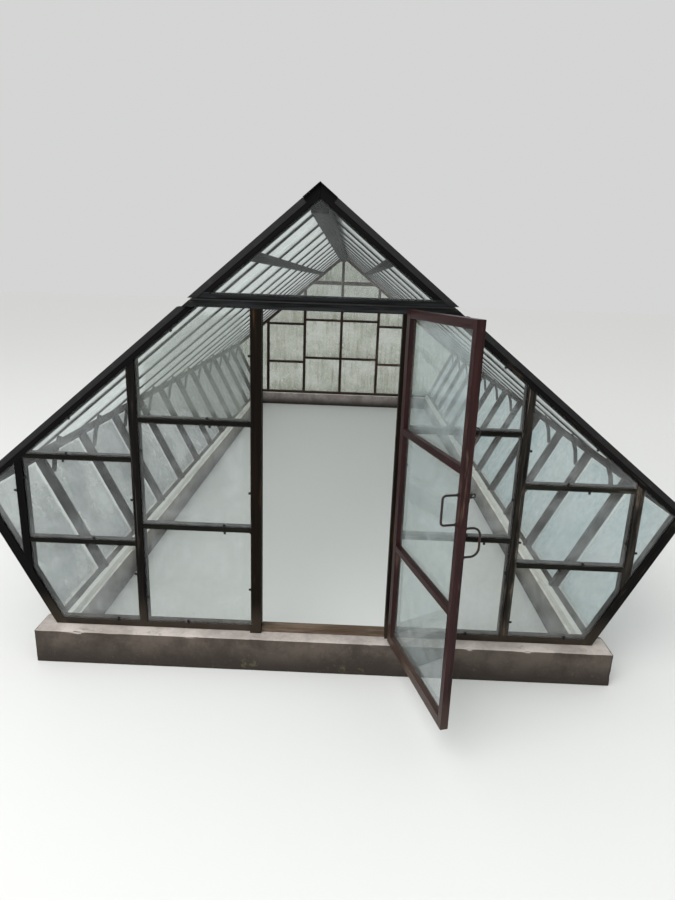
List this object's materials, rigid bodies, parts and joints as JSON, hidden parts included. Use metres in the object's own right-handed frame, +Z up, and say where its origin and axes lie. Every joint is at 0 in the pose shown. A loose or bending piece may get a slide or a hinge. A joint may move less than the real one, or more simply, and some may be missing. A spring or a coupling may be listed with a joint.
{
  "type": "glass greenhouse",
  "caption": "Gabled timber and glass greenhouse on a low concrete base, with side walls leaning outward to the eaves and one hinged glazed door.",
  "frame": {"origin": "underside of the front foundation at the lowest ground level, on the middle line of the doorway and the eaves, in the plane of the front wall's face", "axes": "+X to the right seen from outside the door, +Y in through the doorway along the ridge, +Z up"},
  "size_m": [3.8638, 8.6438, 2.5959],
  "materials": {
    "frame_timber": "matte",
    "door_post_timber": "matte",
    "door_paint": "satin",
    "concrete": "matte",
    "wall_glass": "gloss",
    "roof_glass": "gloss",
    "door_glass": "gloss",
    "cover_sheet": "satin",
    "ironwork": "satin"
  },
  "bodies": {
    "greenhouse": {"back_corner_posts": "frame_timber", "back_foundation": "concrete", "back_rafters": "frame_timber", "back_rails": "frame_timber", "back_sill": "frame_timber", "back_studs": "frame_timber", "back_tie_beam": "frame_timber", "back_verge_strips": "cover_sheet", "back_wall_glass": "wall_glass", "door_posts": "door_post_timber", "eave_plates": "frame_timber", "front_corner_posts": "frame_timber", "front_foundation": "concrete", "front_gable_glass": "wall_glass", "front_left_rafter": "frame_timber", "front_rails": "frame_timber", "front_right_rafter": "frame_timber", "front_sills": "frame_timber", "front_studs": "frame_timber", "front_tie_beam": "frame_timber", "front_verge_strips": "cover_sheet", "front_wall_glass": "wall_glass", "hinge_pins": "ironwork", "knee_struts": "frame_timber", "left_roof_bars": "frame_timber", "left_roof_glass": "roof_glass", "left_wall_bars": "frame_timber", "left_wall_glass": "wall_glass", "purlins": "frame_timber", "ridge_beam": "frame_timber", "ridge_cap": "cover_sheet", "right_roof_bars": "frame_timber", "right_roof_glass": "roof_glass", "right_wall_bars": "frame_timber", "right_wall_glass": "wall_glass", "side_foundations": "concrete", "side_sills": "frame_timber", "threshold": "door_post_timber", "tie_flashing": "cover_sheet"},
    "door": {"door_glass": "door_glass", "door_handles": "ironwork", "door_hasp": "ironwork", "door_hinges": "ironwork", "door_rails": "door_paint", "door_stiles": "door_paint"}
  },
  "joints": [
    {"name": "door_hinge", "type": "hinge", "parent": "greenhouse", "child": "door", "pos_m": [0.381, -0.041, 0.5], "axis": [0, 0, 1], "range_deg": [-106, 34]}
  ]
}
